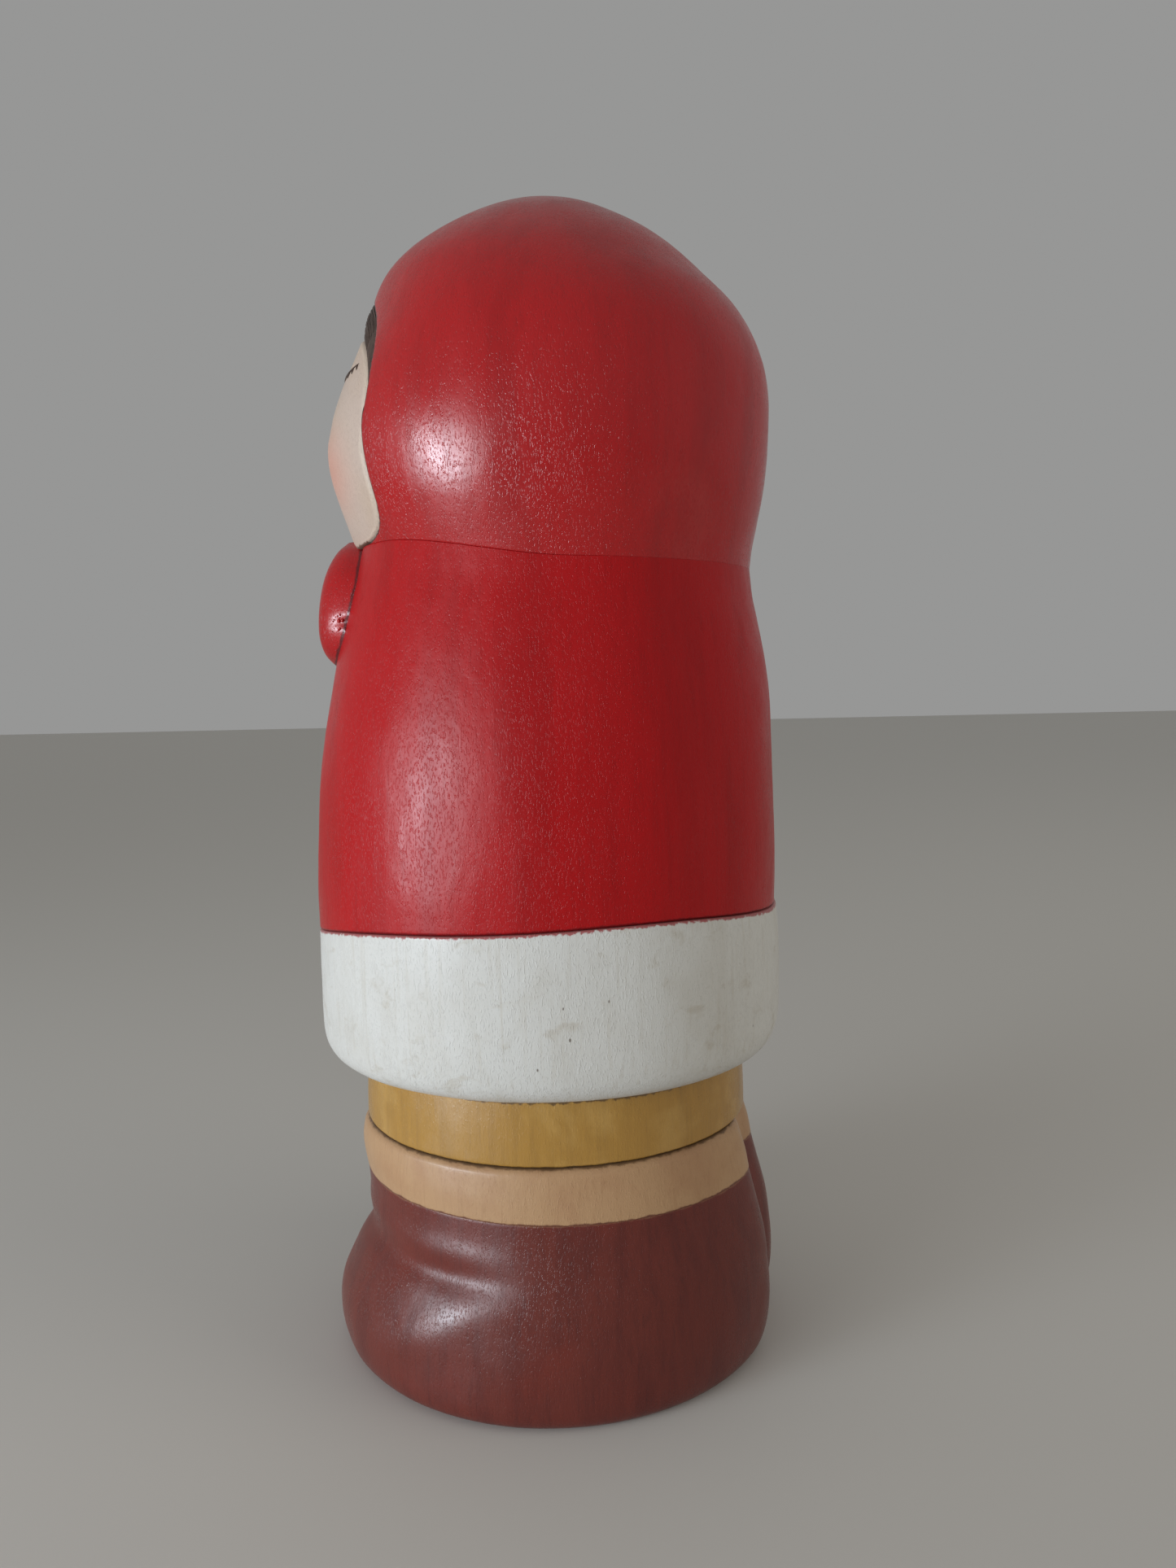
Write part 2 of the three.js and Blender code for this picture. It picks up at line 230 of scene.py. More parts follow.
def hand_waves(seed, count, shortest, longest):
    """A gentle unevenness left by hand tools: a sum of plane waves, as a function of place."""
    draw = np.random.default_rng(seed)
    directions = draw.normal(size=(count, 3)) * (1, 1, 0.6)
    directions /= np.linalg.norm(directions, axis=1)[:, None]
    waves = directions * (2 * math.pi / draw.uniform(shortest, longest, count))[:, None]
    phases = draw.uniform(0, 2 * math.pi, count)

    def unevenness(x, y, z):
        turn = x[..., None] * waves[:, 0] + y[..., None] * waves[:, 1] + z[..., None] * waves[:, 2]
        return np.sin(turn + phases).sum(axis=-1) / math.sqrt(count / 2)
    return unevenness


broad_waves = hand_waves(5, 16, 14, 34)
small_waves = hand_waves(8, 24, 2.4, 6)


def carving(x, y, z):
    """How far the tools left the wood above or below its plain shape."""
    return 0.06 * broad_waves(x, y, z) + 0.01 * small_waves(x, y, z)


# ---- meshes

def grid_faces(rows, columns):
    """Quads over a grid of points, going round in columns and up in rows."""
    r, c = np.meshgrid(np.arange(rows - 1), np.arange(columns), indexing="ij")
    after = (c + 1) % columns
    quads = [r * columns + c, r * columns + after, (r + 1) * columns + after, (r + 1) * columns + c]
    return np.stack(quads, axis=-1).reshape(-1, 4).tolist()


def closed_stack(grid):
    """The points and faces of a closed solid through a stack of rings, with a fan over each end."""
    rows, columns = grid.shape[:2]
    points = np.concatenate([grid.reshape(-1, 3), grid[:1].mean(axis=1), grid[-1:].mean(axis=1)])
    faces = grid_faces(rows, columns)
    low, high, last = rows * columns, rows * columns + 1, (rows - 1) * columns
    for c in range(columns):
        after = (c + 1) % columns
        faces.append([low, after, c])
        faces.append([high, last + c, last + after])
    return points, faces


def new_piece(name, points, edges, faces, material):
    """A piece from points in design millimetres."""
    mesh = bpy.data.meshes.new(name)
    mesh.from_pydata((np.asarray(points) * UNIT).tolist(), edges, faces)
    mesh.materials.append(material)
    piece = bpy.data.objects.new(name, mesh)
    bpy.context.scene.collection.objects.link(piece)
    return piece


def new_solid(name, grid, material, sharp=35):
    """A closed solid through a stack of rings."""
    points, faces = closed_stack(grid)
    piece = new_piece(name, points, [], faces, material)
    soften(piece, sharp)
    return piece


def soften(piece, sharp=35):
    """Smooth shading with sharp edges where two faces meet at more than an angle."""
    piece.data.shade_smooth()
    piece.data.set_sharp_from_angle(angle=math.radians(sharp))


def places(piece):
    """The points of a piece in design millimetres, as three arrays."""
    flat = np.empty(len(piece.data.vertices) * 3)
    piece.data.vertices.foreach_get("co", flat)
    return (flat.reshape(-1, 3) / UNIT).T


def mark(piece, name, values):
    """Stores a number on each point of a piece, for its material to read."""
    attribute = piece.data.attributes.new(name, "FLOAT", "POINT")
    attribute.data.foreach_set("value", np.asarray(values, float))


def bake_modifiers(piece):
    """Turns a piece and its modifiers into a plain mesh."""
    graph = bpy.context.evaluated_depsgraph_get()
    finished = bpy.data.meshes.new_from_object(piece.evaluated_get(graph), depsgraph=graph)
    piece.modifiers.clear()
    old = piece.data
    piece.data = finished
    bpy.data.meshes.remove(old)
    piece.data.name = piece.name


def declare(piece, slot, *nodes):
    """Says which body a piece rides on and which nodes it replaces. Its slot, the name of its paint, is not
    used.
    """
    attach(piece, "root")
    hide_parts(*nodes)


# ---- body blocks

def block_grid(rows, lower, upper, edges, waves=1.0, crease=None):
    """A grid of points round a block, with rounded ends, between two seams."""
    heights = spaced_heights(rows, STEP, [NECK_EDGE if callable(edge) else edge for edge in edges])
    turn = angles(FINE_COLUMNS)
    cos, sin = np.cos(turn)[None, :], np.sin(turn)[None, :]
    front, back, half = [column[:, None] for column in read_outline(rows, heights).T]
    middle, depth = (back - front) / 2, (back + front) / 2
    share = ((heights - rows[0][0]) / (rows[-1][0] - rows[0][0]))[:, None]

    def place(margin):
        x, y = (half + margin) * cos, middle + (depth + margin) * sin
        return x, y, lower(x, y) * (1 - share) + upper(x, y) * share

    x, y, z = place(0)
    radii = [edge(x, y) if callable(edge) else edge + 0 * x for edge in edges]
    margin = waves * carving(x, y, z)
    margin = margin - rounding(z - lower(x, y), np.maximum(radii[0], SMALLEST))
    margin = margin - rounding(upper(x, y) - z, np.maximum(radii[1], SMALLEST))
    if crease is not None:
        margin = margin - crease(x, y, z)
    return np.stack(place(margin), axis=-1)


def crease_side(y):
    """The neck crease is cut at the sides, and fades out towards the back and the chin."""
    return smoothstep(y, -27, -17) * (1 - smoothstep(y, 0, 28))


def hood_edge(x, y):
    """The radius of the hood's lower edge."""
    return 0.2 * crease_side(y)


def shoulder_edge(x, y):
    """The radius of the coat's upper edge."""
    return 0.06 * crease_side(y)


def opening_taper(up):
    """The opening narrows from its middle down to the chin. Up is -1 at the chin."""
    return 1 - OPENING_TAPER * np.maximum(-up, 0)


def arch_ring(side_margin, top_margin, columns=240):
    """The outline of the hood's opening, as x and z, made narrower by the given margins."""
    turn = angles(columns)
    power = np.where(np.sin(turn) >= 0, 2.0, OPENING_CHIN_POWER)
    across, up = squared(np.cos(turn), power), squared(np.sin(turn), power)
    rise = np.where(up >= 0, OPENING_RISE - top_margin, OPENING_RISE - side_margin)
    return (OPENING_HALF_WIDTH - side_margin) * opening_taper(up) * across, rise * up


def front_of(rows, lower, upper, x, z, guess):
    """How far forward a block's surface is at x and z, as a y value, closing in on it from a guess."""
    first, last = rows[0][0], rows[-1][0]
    y = np.full_like(x, guess)
    for _ in range(6):
        low, high = lower(x, y), upper(x, y)
        nominal = np.clip(first + (z - low) / (high - low) * (last - first), first, last)
        front, back, half = np.moveaxis(read_outline(rows, nominal), -1, 0)
        inside = np.sqrt(np.clip(1 - (x / half) ** 2, 0, 1))
        y = (back - front) / 2 - (back + front) / 2 * inside
    return y


def head_front(x, z):
    return front_of(HEAD_ROWS, neck_seam, level(HEIGHT), x, z, -40.0)


def coat_front(x, z):
    return front_of(COAT_ROWS, hem_seam, neck_seam, x, z, -45.0)


def arch_reach(x, up, wide, tall):
    """0 at the middle of an arch like the opening, and 1 on its outline."""
    power = np.where(up >= 0, 2.0, OPENING_CHIN_POWER)
    wide = wide * opening_taper(up / OPENING_RISE)
    return (np.abs(x / wide) ** power + np.abs(up / tall) ** power) ** (1 / power)


def past_opening(x, y, z):
    """How far a point of the hood is from the edge of its opening."""
    up = z - OPENING_MIDDLE
    reach = arch_reach(x, up, OPENING_HALF_WIDTH, OPENING_RISE)
    distance = np.hypot(x, up) * (1 - 1 / np.maximum(reach, SMALLEST))
    return np.where(y < 0, np.maximum(distance, 0), FAR_AWAY)


def lip_turn(x, y, z):
    """The hood's edge turns in round its opening."""
    return rounding(past_opening(x, y, z), LIP_RADIUS)


def make_hood(paint, dark):
    """The rounded hood, with the pocket for the face cut into it."""
    grid = block_grid(HEAD_ROWS, neck_seam, level(HEIGHT), (hood_edge, 0), crease=lip_turn)
    hood = new_solid("hood_shell", grid, paint)
    x, up = arch_ring(0, 0)
    ends = [np.stack([x, y + 0 * x, OPENING_MIDDLE + up], axis=-1) for y in (OPENING_FLOOR, OPENING_FRONT)]
    # The cutter is dark brown, and its cut faces line the face's pocket with it: painted shade in the gap
    # round the face.
    cutter = new_solid("opening_cutter", np.stack(ends), dark)
    cut = hood.modifiers.new("opening", "BOOLEAN")
    cut.operation, cut.solver, cut.object = "DIFFERENCE", "EXACT", cutter
    cut.material_mode = "TRANSFER"
    bake_modifiers(hood)
    bpy.data.objects.remove(cutter)
    soften(hood)
    mark(hood, "past_opening", past_opening(*places(hood)))
    declare(hood, "red_paint", "hood")


def make_face(paint, dark, tree):
    """A domed face with turned-in edges, low cheeks and a small nose."""
    rim_x, rim_up = arch_ring(FACE_MARGIN, FACE_TOP_MARGIN, columns=260)
    inward = np.concatenate([np.linspace(0, FACE_EDGE, 7), np.linspace(0.9, FACE_RADIUS, 50)])
    share = np.maximum(1 - inward / (FACE_RADIUS + 0.2), 0.004)[:, None]
    x, z = share * rim_x, OPENING_MIDDLE + share * rim_up
    y = face_front(x, z) + FACE_SINK + rounding((1 - share) * np.hypot(rim_x, rim_up), FACE_EDGE)
    front = np.stack([x, y, z], axis=-1)
    depths = np.linspace(0, 1, 14)[::-1, None]
    floor = OPENING_FLOOR - GLUE_GAP
    wall_y = floor * depths + y[0][None, :] * (1 - depths)
    wall = np.stack([x[0] + 0 * wall_y, wall_y, z[0] + 0 * wall_y], axis=-1)
    grid = np.concatenate([wall[:-1], front])[:, ::-1]
    face = new_solid("face_dome", grid[::-1] if ring_faces_back(grid) else grid, paint, 60)
    x, y, z = places(face)
    up, low = z - OPENING_MIDDLE, OPENING_RISE - FACE_MARGIN
    tall = np.where(up >= 0, OPENING_RISE - FACE_TOP_MARGIN, low)
    reach = arch_reach(x, up, OPENING_HALF_WIDTH - FACE_MARGIN, tall)
    mark(face, "from_rim", (1 - reach) * FACE_RADIUS)
    mark(face, "above_chin", up + low)
    declare(face, "face_paint", "face")
    make_strokes(tree, dark)


def ring_faces_back(grid):
    """Whether the solid that a grid makes would have its faces turned inwards."""
    a, b, c = grid[-1, 0], grid[-1, grid.shape[1] // 4], grid[-1].mean(axis=0)
    return np.cross(a - c, b - c)[1] > 0


def swelling(x, z, shape):
    """A soft bump: its full length at the middle, fading over its half width and half height."""
    across = (x - shape["side"]) / shape["half_width"]
    return shape["length"] * np.exp(-(across**2) - ((z - shape["height"]) / shape["half_height"]) ** 2)


def face_front(x, z):
    """How far forward the face's surface is at x and z, as a y value."""
    raised = swelling(x, z, NOSE) + swelling(np.abs(x), z, CHEEK) + swelling(x, z, CHIN)
    return head_front(x, z) - raised


def make_coat(paint):
    grid = block_grid(COAT_ROWS, hem_seam, lambda x, y: neck_seam(x, y) - NECK_GAP, (0.7, shoulder_edge))
    coat = new_solid("coat_body", grid, paint)
    x, y, z = places(coat)
    mark(coat, "above_hem", z - hem_seam(x, y))
    declare(coat, "red_paint", "coat")


def make_trim(paint):
    grid = block_grid(TRIM_ROWS, level(SKIRT_TOP), hem_seam, (0, 0.5))
    trim = new_solid("white_fur_band", grid, paint)
    x, y, z = places(trim)
    mark(trim, "below_hem", hem_seam(x, y) - z)
    mark(trim, "above_skirt", z - SKIRT_TOP)
    declare(trim, "white_paint", "fur_trim")


def make_skirt(paint):
    grid = block_grid(SKIRT_ROWS, level(CUFF_TOP), level(SKIRT_TOP), (0.8, 0), waves=0.6)
    skirt = new_solid("mustard_skirt", grid, paint)
    z = places(skirt)[2]
    mark(skirt, "above_cuff", z - CUFF_TOP)
    mark(skirt, "below_trim", SKIRT_TOP - z)
    declare(skirt, "mustard_paint", "skirt")


# ---- legs and mittens

LEG_WAVES = 0.8
CLEFT = {"depth": 0.1, "half_width": 7}


def leg_grid(rows, side, lower, upper, edges, shaping=None):
    """Half an oval, flat along the middle plane, with a cleft front and back. Side is 1 or -1."""
    heights = spaced_heights(rows, STEP, edges)
    around = np.linspace(-0.5, 0.5, 220) * math.pi
    front, back, half = [column[:, None] for column in read_outline(rows, heights).T]
    middle, depth = (back - front) / 2, (back + front) / 2
    inner = GLUE_GAP / 2
    share = ((heights - rows[0][0]) / (rows[-1][0] - rows[0][0]))[:, None]
    z = lower * (1 - share) + upper * share + 0 * around
    turned = rounding(z - lower, edges[0]) + rounding(upper - z, edges[1])
    waves = carving(side * half * np.cos(around), middle + depth * np.sin(around), z)
    margin = -turned + waves * LEG_WAVES
    if shaping is not None:
        margin = margin + shaping(np.sin(around)[None, :] + 0 * z, z)
    x = inner + (half + margin - inner) * np.cos(around)
    cleft = 1 - CLEFT["depth"] * np.exp(-((x / CLEFT["half_width"]) ** 2))
    y = middle + (depth + margin) * cleft * np.sin(around)
    wall = np.linspace(0, 1, 40)[1:-1]
    wall_y = y[:, -1:] * (1 - wall) + y[:, :1] * wall
    wall_x = np.full_like(wall_y, inner)
    wall_z = z[:, :1] + 0 * wall_y
    ring = np.stack([np.hstack([x, wall_x]), np.hstack([y, wall_y]), np.hstack([z, wall_z])], axis=-1)
    return ring if side > 0 else mirrored(ring)


def mirrored(grid):
    """The same grid on the figure's other side."""
    return grid[:, ::-1] * (-1, 1, 1)


def ridge(z, height, half_height):
    """1 at a height, fading to 0 above and below it."""
    return np.exp(-(((z - height) / half_height) ** 2))


def boot_shape(along, z):
    """The toe box, the heel and the fold over the instep, as a swelling of the boot's outline."""
    from_front = (along + 1) / 2
    toe_height = 12 + 13 * smoothstep(from_front, 0.16, 0.5)
    toe_and_fold = 0.8 * ridge(z, toe_height, 6) + 0.3 * ridge(z, 32.5, 2.4) - 0.85 * ridge(z, 27.5, 2.6)
    fade = 1 - smoothstep(from_front, 0.26, 0.56)
    heel = ridge(z, 12, 8) * smoothstep(from_front, 0.75, 1)
    return fade * toe_and_fold + 0.3 * heel - 0.1


def make_legs(boot_paint, cuff_paint):
    for name, side in (("left", 1), ("right", -1)):
        grid = leg_grid(BOOT_ROWS, side, 0, BOOT_TOP, (1.6, 0.15), boot_shape)
        boot = new_solid(f"{name}_boot_shell", grid, boot_paint)
        z = places(boot)[2]
        mark(boot, "below_cuff", BOOT_TOP - z)
        declare(boot, "boot_paint", f"{name}_boot")
        grid = leg_grid(CUFF_ROWS, side, BOOT_TOP, CUFF_TOP, (0.15, 1.5))
        cuff = new_solid(f"{name}_cuff_band", grid, cuff_paint)
        z = places(cuff)[2]
        mark(cuff, "above_boot", z - BOOT_TOP)
        mark(cuff, "below_skirt", CUFF_TOP - z)
        declare(cuff, "tan_paint", f"{name}_cuff")


def make_mittens(paint):
    """Two mittens held together under the chin, pinched above their cuffs and pressed on the coat."""
    heights = spaced_heights(MITTEN_ROWS, MITTEN_STEP)
    front, side, half = [column[:, None] for column in read_outline(MITTEN_ROWS, heights).T]
    turn = angles(140)
    across, out = squared(np.cos(turn), MITTEN_POWER), squared(np.sin(turn), MITTEN_POWER)
    z = heights[:, None] + 0 * turn
    pinch = PINCH["depth"] * ridge(z, PINCH["height"], PINCH["half_height"])
    x = side + (half - pinch * np.clip(across, 0, 1) * smoothstep(out, -0.9, -0.2)) * across
    y = -MITTEN_BACK + np.where(out < 0, front - MITTEN_BACK, 1) * out
    hood = np.where(z < CHIN_BASE - 2, FAR_AWAY, head_front(x, np.maximum(z, CHIN_BASE)))
    y = np.minimum(y + 0.1 * carving(x, y, z), np.minimum(coat_front(x, z), hood) + MITTEN_PROUD)
    lobe = np.stack([x, y, z], axis=-1)
    for name, grid, seed in (("left", lobe, 3), ("right", mirrored(lobe), 11)):
        mitten = new_solid(f"{name}_mitten_lobe", grid, paint, 50)
        x, y, z = places(mitten)
        away = coat_front(x, z) - y
        mark(mitten, "off_coat", away)
        clotted = np.abs(away - CLOTS["reach"]) < CLOTS["reach"]
        clotted &= (np.abs(z - PINCH["height"]) < CLOTS["half_height"]) & (np.abs(x) > CLOTS["side"])
        mark(mitten, "clotted", clotted)
        add_clots(mitten, paint, seed)
        declare(mitten, "red_paint", f"{name}_mitten")


# ---- Geometry Nodes

def new_tree(name, inputs):
    """An empty Geometry Nodes tree with named inputs. Gives the tree, its inputs and its end."""
    tree = bpy.data.node_groups.new(name, "GeometryNodeTree")
    tree.interface.new_socket("Geometry", in_out="INPUT", socket_type="NodeSocketGeometry")
    for label, kind in inputs:
        tree.interface.new_socket(label, in_out="INPUT", socket_type=f"NodeSocket{kind}")
    tree.interface.new_socket("Geometry", in_out="OUTPUT", socket_type="NodeSocketGeometry")
    return tree, tree.nodes.new("NodeGroupInput").outputs, tree.nodes.new("NodeGroupOutput")


def put(tree, kind, inputs=None, output=0, **settings):
    """Adds a node and gives one of its outputs. An input is a value or another node's output."""
    node = tree.nodes.new(kind)
    for key, value in settings.items():
        setattr(node, key, value)
    for key, value in (inputs or {}).items():
        if isinstance(value, bpy.types.NodeSocket):
            tree.links.new(value, node.inputs[key])
        else:
            node.inputs[key].default_value = value
    return node.outputs[output]


def finish_tree(tree, end, geometry, material):
    """Ends a tree with real geometry in one material."""
    solid = put(tree, "GeometryNodeRealizeInstances", {0: geometry})
    painted = put(tree, "GeometryNodeSetMaterial", {"Geometry": solid, "Material": material})
    tree.links.new(painted, end.inputs[0])


def add_tree(piece, tree, **values):
    """Puts a tree on a piece, with its named inputs set."""
    modifier = piece.modifiers.new(tree.name, "NODES")
    modifier.node_group = tree
    for item in tree.interface.items_tree:
        label = item.name.replace(" ", "_").lower()
        if item.in_out == "INPUT" and label in values:
            modifier[item.identifier] = values[label]


def stroke_tree():
    """Lays a tapered brush stroke of raised paint along every line of a mesh."""
    inputs = [("Width", "Float"), ("Step", "Float"), ("Material", "Material")]
    tree, given, end = new_tree("brush_strokes", inputs)
    curve = put(tree, "GeometryNodeMeshToCurve", {"Mesh": given["Geometry"]})
    even = put(tree, "GeometryNodeResampleCurve", {"Curve": curve, "Length": given["Step"]}, mode="LENGTH")
    along = put(tree, "GeometryNodeSplineParameter", output="Factor")
    swell = calc(tree, "SINE", calc(tree, "MULTIPLY", along, math.pi))
    least = calc(tree, "MAXIMUM", calc(tree, "POWER", swell, 0.45), 0.25)
    line = put(tree, "GeometryNodeSetCurveRadius", {"Curve": even, "Radius": least})
    ring = put(tree, "GeometryNodeCurvePrimitiveCircle", {"Resolution": 8, "Radius": given["Width"]})
    taper = put(tree, "GeometryNodeInputRadius")
    tube = put(tree, "GeometryNodeCurveToMesh",
               {"Curve": line, "Profile Curve": ring, "Scale": taper, "Fill Caps": True})
    soft = put(tree, "GeometryNodeSetShadeSmooth", {"Geometry": tube})
    finish_tree(tree, end, soft, given["Material"])
    return tree


def add_clots(piece, material, seed):
    """Adds small beads of dried paint where a piece is marked as clotted."""
    tree = bpy.data.node_groups.get("paint_clots") or clot_tree()
    size = CLOTS["size"] * UNIT
    add_tree(piece, tree, bead_size=size, density=CLOTS["density"], seed=seed, material=material)
    bake_modifiers(piece)
    soften(piece, 50)


def clot_tree():
    """Beads of several sizes, scattered over the faces that are marked as clotted."""
    inputs = [("Bead Size", "Float"), ("Density", "Float"), ("Seed", "Int"), ("Material", "Material")]
    tree, given, end = new_tree("paint_clots", inputs)
    clotted = put(tree, "GeometryNodeInputNamedAttribute", {"Name": "clotted"}, data_type="FLOAT")
    where = {"Mesh": given["Geometry"], "Selection": calc(tree, "GREATER_THAN", clotted, 0.5)}
    spots = put(tree, "GeometryNodeDistributePointsOnFaces",
                where | {label: given[label] for label in ("Density", "Seed")})
    bead = put(tree, "GeometryNodeMeshIcoSphere", {"Radius": given["Bead Size"], "Subdivisions": 2})
    size = put(tree, "FunctionNodeRandomValue", {2: 0.45, 3: 1.25, "Seed": given["Seed"]}, 1)
    beads = put(tree, "GeometryNodeInstanceOnPoints", {"Points": spots, "Instance": bead, "Scale": size})
    both = put(tree, "GeometryNodeJoinGeometry")
    for part in (beads, given["Geometry"]):
        tree.links.new(part, both.node.inputs[0])
    finish_tree(tree, end, both, given["Material"])
    return tree


FLUTE_POINTS = 6.0


def dowel_tree():
    """A straight dowel with flutes along it that let the glue out."""
    inputs = [("Radius", "Float"), ("Length", "Float"), ("Flutes", "Int"), ("Depth", "Float"),
              ("Material", "Material")]
    tree, given, end = new_tree("fluted_dowel", inputs)
    tip = put(tree, "ShaderNodeCombineXYZ", {"Z": given["Length"]})
    line = put(tree, "GeometryNodeCurvePrimitiveLine", {"End": tip})
    points = calc(tree, "MULTIPLY", given["Flutes"], FLUTE_POINTS)
    ring = put(tree, "GeometryNodeCurvePrimitiveCircle", {"Radius": given["Radius"], "Resolution": points})
    place_in_flute = calc(tree, "MODULO", put(tree, "GeometryNodeInputIndex"), FLUTE_POINTS)
    cut = calc(tree, "MULTIPLY", calc(tree, "LESS_THAN", place_in_flute, 1.0), given["Depth"])
    keep = calc(tree, "SUBTRACT", 1.0, calc(tree, "DIVIDE", cut, given["Radius"]))
    place = put(tree, "GeometryNodeInputPosition")
    moved = put(tree, "ShaderNodeVectorMath", {0: place, "Scale": keep}, operation="SCALE")
    star = put(tree, "GeometryNodeSetPosition", {"Geometry": ring, "Position": moved})
    rod = put(tree, "GeometryNodeCurveToMesh", {"Curve": line, "Profile Curve": star, "Fill Caps": True})
    finish_tree(tree, end, rod, given["Material"])
    return tree


def make_dowels(wood):
    """The glued dowels that hold the blocks together, each in the place of its node."""
    tree = dowel_tree()
    for node in ("neck_dowel", "waist_dowel", "left_leg_dowel", "right_leg_dowel"):
        low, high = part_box(node)
        dowel = new_piece(f"fluted_{node}", np.zeros((1, 3)), [], [], wood)
        middle, radius, length = (low + high) / 2, (high.x - low.x) / 2, high.z - low.z
        add_tree(dowel, tree, radius=radius, length=length, flutes=16, depth=0.06 * radius, material=wood)
        bake_modifiers(dowel)
        dowel.data.transform(Matrix.Translation((middle.x, middle.y, low.z)))
        soften(dowel, 30)
        declare(dowel, "bare_wood", node)


def lines_piece(name, lines, tree, material, width, step=0.25):
    """Brush strokes along a list of lines, each an array of points."""
    points, edges = [], []
    for line in lines:
        first = len(points)
        points += line.tolist()
        edges += [(first + i, first + i + 1) for i in range(len(line) - 1)]
    piece = new_piece(name, points, edges, [], material)
    add_tree(piece, tree, width=width * UNIT, step=step * UNIT, material=material)
    bake_modifiers(piece)
    return piece


def on_face(x, z):
    """A line painted on the face, standing a little proud of it."""
    return np.stack([x, face_front(x, z) - STROKE_PROUD, z], axis=-1)


def make_strokes(tree, dark):
    """The closed eyes with three lashes each, and a small mouth, in dark raised paint."""
    along, down = np.linspace(-1, 1, 30), np.linspace(0, LASH_LENGTH, 6)
    lines = []
    for side in (1, -1):
        x = side * (EYE["side"] + EYE["half_width"] * along)
        lines.append(on_face(x, EYE["height"] + EYE["sag"] * along**2))
        for start, lean in LASHES:
            x = side * (EYE["side"] + EYE["half_width"] * start + lean * down)
            lines.append(on_face(x, EYE["height"] + EYE["sag"] * start**2 - down))
    lines.append(on_face(MOUTH["half_width"] * along, MOUTH["height"] + MOUTH["sag"] * along**2))
    piece = lines_piece("painted_lashes", lines, tree, dark, STROKE_WIDTH)
    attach(piece, "root")


def hair_lines():
    """The outer and inner edges of the fringe, as x and height above the opening's middle.

    It is widest over the forehead and tapers away down both sides."""
    turn = angles(720)
    turn = np.where(turn > 1.5 * math.pi, turn - 2 * math.pi, turn)
    order = np.argsort(turn)
    outer = arch_ring(GLUE_GAP, GLUE_GAP, len(turn))
    inner = arch_ring(FACE_MARGIN + 0.25, GLUE_GAP + HAIR_TOP_WIDTH, len(turn))
    outer_x, outer_up, inner_x, inner_up = [line[order] for line in (*outer, *inner)]
    gone = 1 - smoothstep(outer_up + OPENING_MIDDLE, HAIR_END_HEIGHT - 2, HAIR_END_HEIGHT + 14)
    inner_x = inner_x * (1 - gone) + (outer_x - HAIR_THREAD * np.sign(outer_x)) * gone
    kept = outer_up > HAIR_END_HEIGHT - OPENING_MIDDLE
    kept &= np.abs(turn[order] - math.pi / 2) < HAIR_REACH
    return [line[kept] for line in (outer_x, outer_up, inner_x, inner_up)]


def make_hair(paint, tree):
    """A fringe between the face and the hood: a low band with strands combed from the middle."""
    ox, ou, ix, iu = hair_lines()
    thickness = HAIR_THICKNESS * np.clip(np.hypot(ox - ix, ou - iu) / HAIR_TOP_WIDTH, 0.03, 1)

    def across(share):
        x = ox * (1 - share) + ix * share
        z = OPENING_MIDDLE + ou * (1 - share) + iu * share
        return x, head_front(x, z) + HAIR_SINK - thickness * np.sin(np.pi * share), z

    front = np.stack(across(np.linspace(0, 1, 21)[:, None]), axis=-1)
    back = front.copy()
    back[..., 1] = OPENING_FLOOR - GLUE_GAP
    ring = np.concatenate([front, back[::-1]])
    band = new_solid("hair_band", np.swapaxes(ring, 0, 1), paint, 50)
    draw = np.random.default_rng(21)
    middle, bare = len(ox) // 2, len(ox) // 5
    lines = []
    for share in np.linspace(0.06, 0.94, 17):
        wobble = share + 0.03 * np.sin(np.linspace(0, 9, len(ox)) + draw.uniform(0, 6))
        strand = np.stack(across(wobble), axis=-1)
        lines += [strand[bare:middle:3], strand[middle:-bare:3]]
    strands = lines_piece("hair_strands", lines, tree, paint, STRAND_WIDTH, STRAND_STEP)
    for piece in (band, strands):
        declare(piece, "hair_paint", "hair_fringe")


# ---- material groups

def paint_colour(red, green, blue):
    """A colour as mixed on the palette, 0 to 255, as the shader needs it."""
    def linear(value):
        value /= 255
        return value / 12.92 if value <= 0.04045 else ((value + 0.055) / 1.055) ** 2.4
    return (linear(red), linear(green), linear(blue), 1)


def new_group(name, inputs, outputs):
    """An empty shader group with named inputs, each with its usual value, and named outputs."""
    group = bpy.data.node_groups.new(name, "ShaderNodeTree")
    for label, value in inputs:
        kind = "NodeSocketVector" if value is None else "NodeSocketFloat"
        socket = group.interface.new_socket(label, in_out="INPUT", socket_type=kind)
        if value is not None:
            socket.default_value = value
    for label in outputs:
        group.interface.new_socket(label, in_out="OUTPUT", socket_type="NodeSocketFloat")
    return group, group.nodes.new("NodeGroupInput").outputs, group.nodes.new("NodeGroupOutput")


def calc(tree, operation, a, b=0.0):
    """One step of arithmetic in a tree, on numbers or on other nodes' outputs."""
    return put(tree, "ShaderNodeMath", {0: a, 1: b}, operation=operation)


def ramp(tree, value, low, high):
    """0 where the value is low and 1 where it is high, with a smooth climb between them."""
    return put(tree, "ShaderNodeMapRange", {"Value": value, "From Min": low, "From Max": high},
               interpolation_type="SMOOTHSTEP")


MM_PER_METRE = 1000.0


def stretched(tree, coordinates, width, length):
    """Coordinates counted in strokes, each a width across and a length up, in real millimetres."""
    across = calc(tree, "DIVIDE", MM_PER_METRE, width)
    up = calc(tree, "DIVIDE", MM_PER_METRE, length)
    scale = put(tree, "ShaderNodeCombineXYZ", {"X": across, "Y": across, "Z": up})
    return put(tree, "ShaderNodeVectorMath", {0: coordinates, 1: scale}, operation="MULTIPLY")


